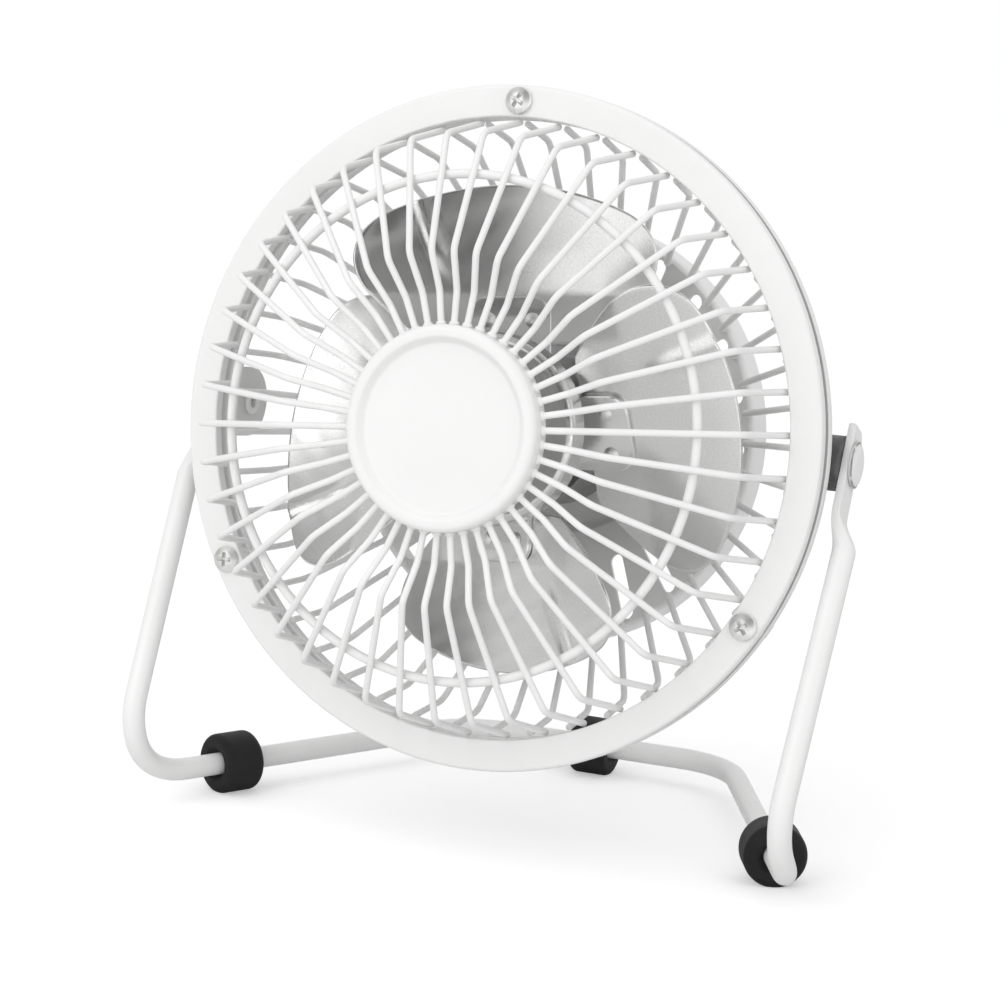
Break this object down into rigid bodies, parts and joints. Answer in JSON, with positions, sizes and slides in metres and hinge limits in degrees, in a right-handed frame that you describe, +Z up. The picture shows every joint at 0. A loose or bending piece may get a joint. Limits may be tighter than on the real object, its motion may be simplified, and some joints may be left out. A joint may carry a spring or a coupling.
{
  "type": "desk fan",
  "caption": "Small tilting desk fan: round wire guard head with sheet-metal blades and a motor bowl, hung by side pivots in a bent rod stand with rubber feet.",
  "frame": {"origin": "centre of the bounding box on the floor, under the head", "axes": "+Z up, +Y towards the back of the fan, +X to the right of a person facing it"},
  "size_m": [0.1528, 0.1067, 0.1574],
  "materials": {
    "white_paint": "satin white powder coat",
    "bright_steel": "bright plated",
    "black_rubber": "matte black",
    "satin_aluminium": "satin brushed",
    "black_plastic": "matte black",
    "plated_steel": "zinc plated",
    "bronze": "plain bronze",
    "copper": "bare copper",
    "dark_ferrite": "dull dark grey"
  },
  "bodies": {
    "stand": {"stand_rod": "white_paint", "foot_left": "black_rubber", "foot_right": "black_rubber", "foot_rear": "black_rubber", "pivot_rivets": "white_paint", "pivot_bushes": "black_plastic"},
    "head": {"front_ring": "white_paint", "rear_ring": "white_paint", "ring_screws": "bright_steel", "ring_nuts": "bright_steel", "front_cap": "white_paint", "front_guard_wires": "white_paint", "guard_middle_ring": "white_paint", "rear_guard_wires": "white_paint", "rear_bowl": "white_paint", "pivot_bracket_right": "white_paint", "pivot_bracket_left": "white_paint", "motor_can": "plated_steel", "motor_end_cap": "black_plastic", "motor_front_bearing": "bronze", "motor_rear_bearing": "bronze", "motor_magnets": "dark_ferrite", "motor_brushes": "bronze", "motor_bracket": "plated_steel", "motor_screws": "bright_steel", "switch_body": "black_plastic", "switch_terminals": "bronze", "cord_grommet": "black_rubber"},
    "rotor": {"blade_1": "satin_aluminium", "blade_2": "satin_aluminium", "blade_3": "satin_aluminium", "blade_4": "satin_aluminium", "blade_rivets": "bright_steel", "blade_hub": "satin_aluminium", "hub_cover": "satin_aluminium", "fan_shaft": "bright_steel", "armature_core": "plated_steel", "armature_coils": "copper", "commutator": "copper"},
    "rocker": {"switch_rocker": "black_plastic"}
  },
  "joints": [
    {"name": "head_tilt", "type": "hinge", "parent": "stand", "child": "head", "pos_m": [0, -0.00898, 0.08619], "axis": [1, 0, 0], "range_deg": [-84, 96]},
    {"name": "fan_spin", "type": "hinge", "parent": "head", "child": "rotor", "pos_m": [0, -0.0241, 0.0878], "axis": [0, 0.9944, -0.1056], "continuous": true},
    {"name": "switch_rock", "type": "hinge", "parent": "head", "child": "rocker", "pos_m": [0, 0.02462, 0.08685], "axis": [1, 0, 0], "range_deg": [0, 18]}
  ]
}
